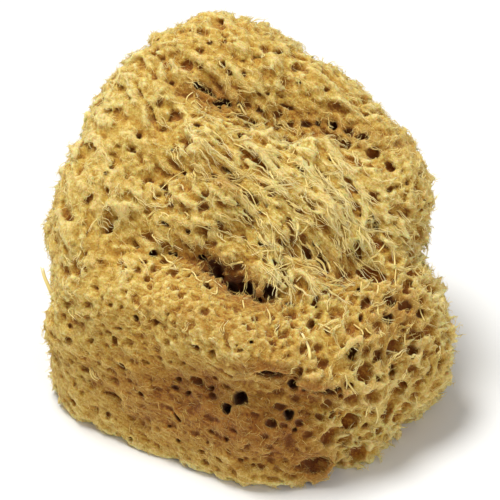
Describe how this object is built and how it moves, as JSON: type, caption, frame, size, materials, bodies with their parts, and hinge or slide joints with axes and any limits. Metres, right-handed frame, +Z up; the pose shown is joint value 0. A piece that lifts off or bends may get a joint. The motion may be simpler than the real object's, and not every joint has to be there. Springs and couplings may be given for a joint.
{
  "type": "natural sea sponge",
  "caption": "Dry natural sea sponge: a lumpy block of springy fibre with a crown ridge, a deep furrow, a smooth cut wall and many pores, standing on a flat cut base.",
  "frame": {"origin": "on the surface that the sponge stands on, under the middle of its outline", "axes": "+Z up from the flat cut base, +X to the right and -Y towards the viewer in the picture"},
  "size_m": [0.124, 0.118, 0.1031],
  "materials": {
    "sponge_fibre": "dry, matt, felted golden fibre with paler loose ends and darker orange-brown pores"
  },
  "bodies": {
    "root": {"sponge": "sponge_fibre"}
  },
  "joints": []
}
